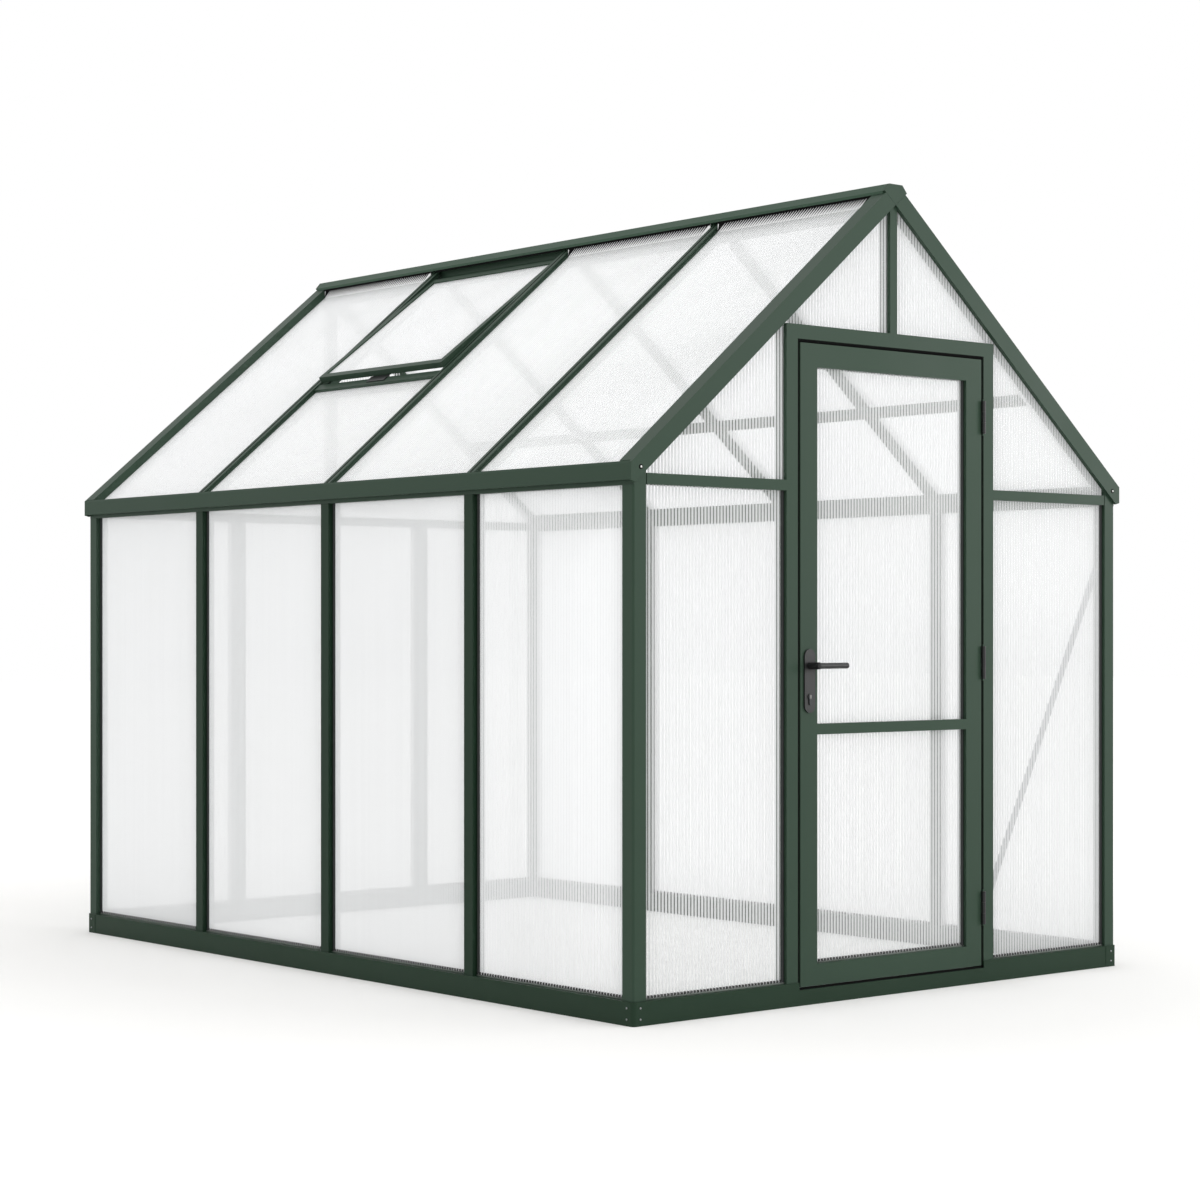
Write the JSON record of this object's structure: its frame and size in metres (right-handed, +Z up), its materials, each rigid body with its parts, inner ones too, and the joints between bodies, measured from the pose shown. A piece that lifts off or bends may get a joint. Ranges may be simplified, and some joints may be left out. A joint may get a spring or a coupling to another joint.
{
  "type": "polycarbonate greenhouse",
  "caption": "Gable-roofed garden greenhouse: green aluminium frame on a low base, fluted twin-wall glazing, a hinged glazed door with a lever handle and a roof vent propped ajar.",
  "frame": {"origin": "on the ground at the centre of the base rails' outline", "axes": "+Z up, -Y is the front gable with the door, +X to the right seen from the front"},
  "size_m": [2.02, 2.9505, 2.3376],
  "materials": {
    "green_frame": "satin powder coat",
    "base_frame": "satin powder coat",
    "twin_wall_sheet": "clear fluted sheet",
    "black_fittings": "matt black powder coat",
    "lock_steel": "satin nickel",
    "mill_aluminium": "mill"
  },
  "bodies": {
    "root": {"base_sides": "base_frame", "base_back": "base_frame", "base_front": "base_frame", "door_threshold": "base_frame", "base_corners": "base_frame", "corner_posts": "green_frame", "left_mullions": "green_frame", "right_mullions": "green_frame", "back_mullions": "green_frame", "left_gutter": "green_frame", "right_gutter": "green_frame", "ridge_beam": "green_frame", "front_left_rafter": "green_frame", "front_right_rafter": "green_frame", "back_left_rafter": "green_frame", "back_right_rafter": "green_frame", "apex_plates": "green_frame", "left_roof_bars": "green_frame", "right_roof_bars": "green_frame", "gable_rails": "green_frame", "king_posts": "green_frame", "door_jambs": "green_frame", "door_head": "green_frame", "left_wall_sheets": "twin_wall_sheet", "right_wall_sheets": "twin_wall_sheet", "back_wall_sheets": "twin_wall_sheet", "front_wall_sheets": "twin_wall_sheet", "front_gable_sheets": "twin_wall_sheet", "back_gable_sheets": "twin_wall_sheet", "left_roof_sheets": "twin_wall_sheet", "right_roof_sheets": "twin_wall_sheet", "vent_transom": "green_frame", "vent_frame": "green_frame", "vent_sheet": "twin_wall_sheet", "vent_stay": "black_fittings", "roof_purlin": "green_frame", "wind_brace": "mill_aluminium", "hinge_pins": "black_fittings"},
    "door": {"door_stiles": "green_frame", "door_rails": "green_frame", "door_sheets": "twin_wall_sheet", "hinge_leaves": "black_fittings", "handle_plates": "black_fittings", "lock_cylinder": "lock_steel"},
    "lever": {"lever_handle": "black_fittings"}
  },
  "joints": [
    {"name": "door_hinge", "type": "hinge", "parent": "root", "child": "door", "pos_m": [0.38025, -1.452, 0.951], "axis": [0, 0, 1], "range_deg": [0, 120]},
    {"name": "lever_turn", "type": "hinge", "parent": "door", "child": "lever", "pos_m": [-0.3435, -1.452, 0.951], "axis": [0, 1, 0], "range_deg": [0, 45], "stiffness_Nm_per_rad": 0.9, "springref_deg": -20.05}
  ]
}
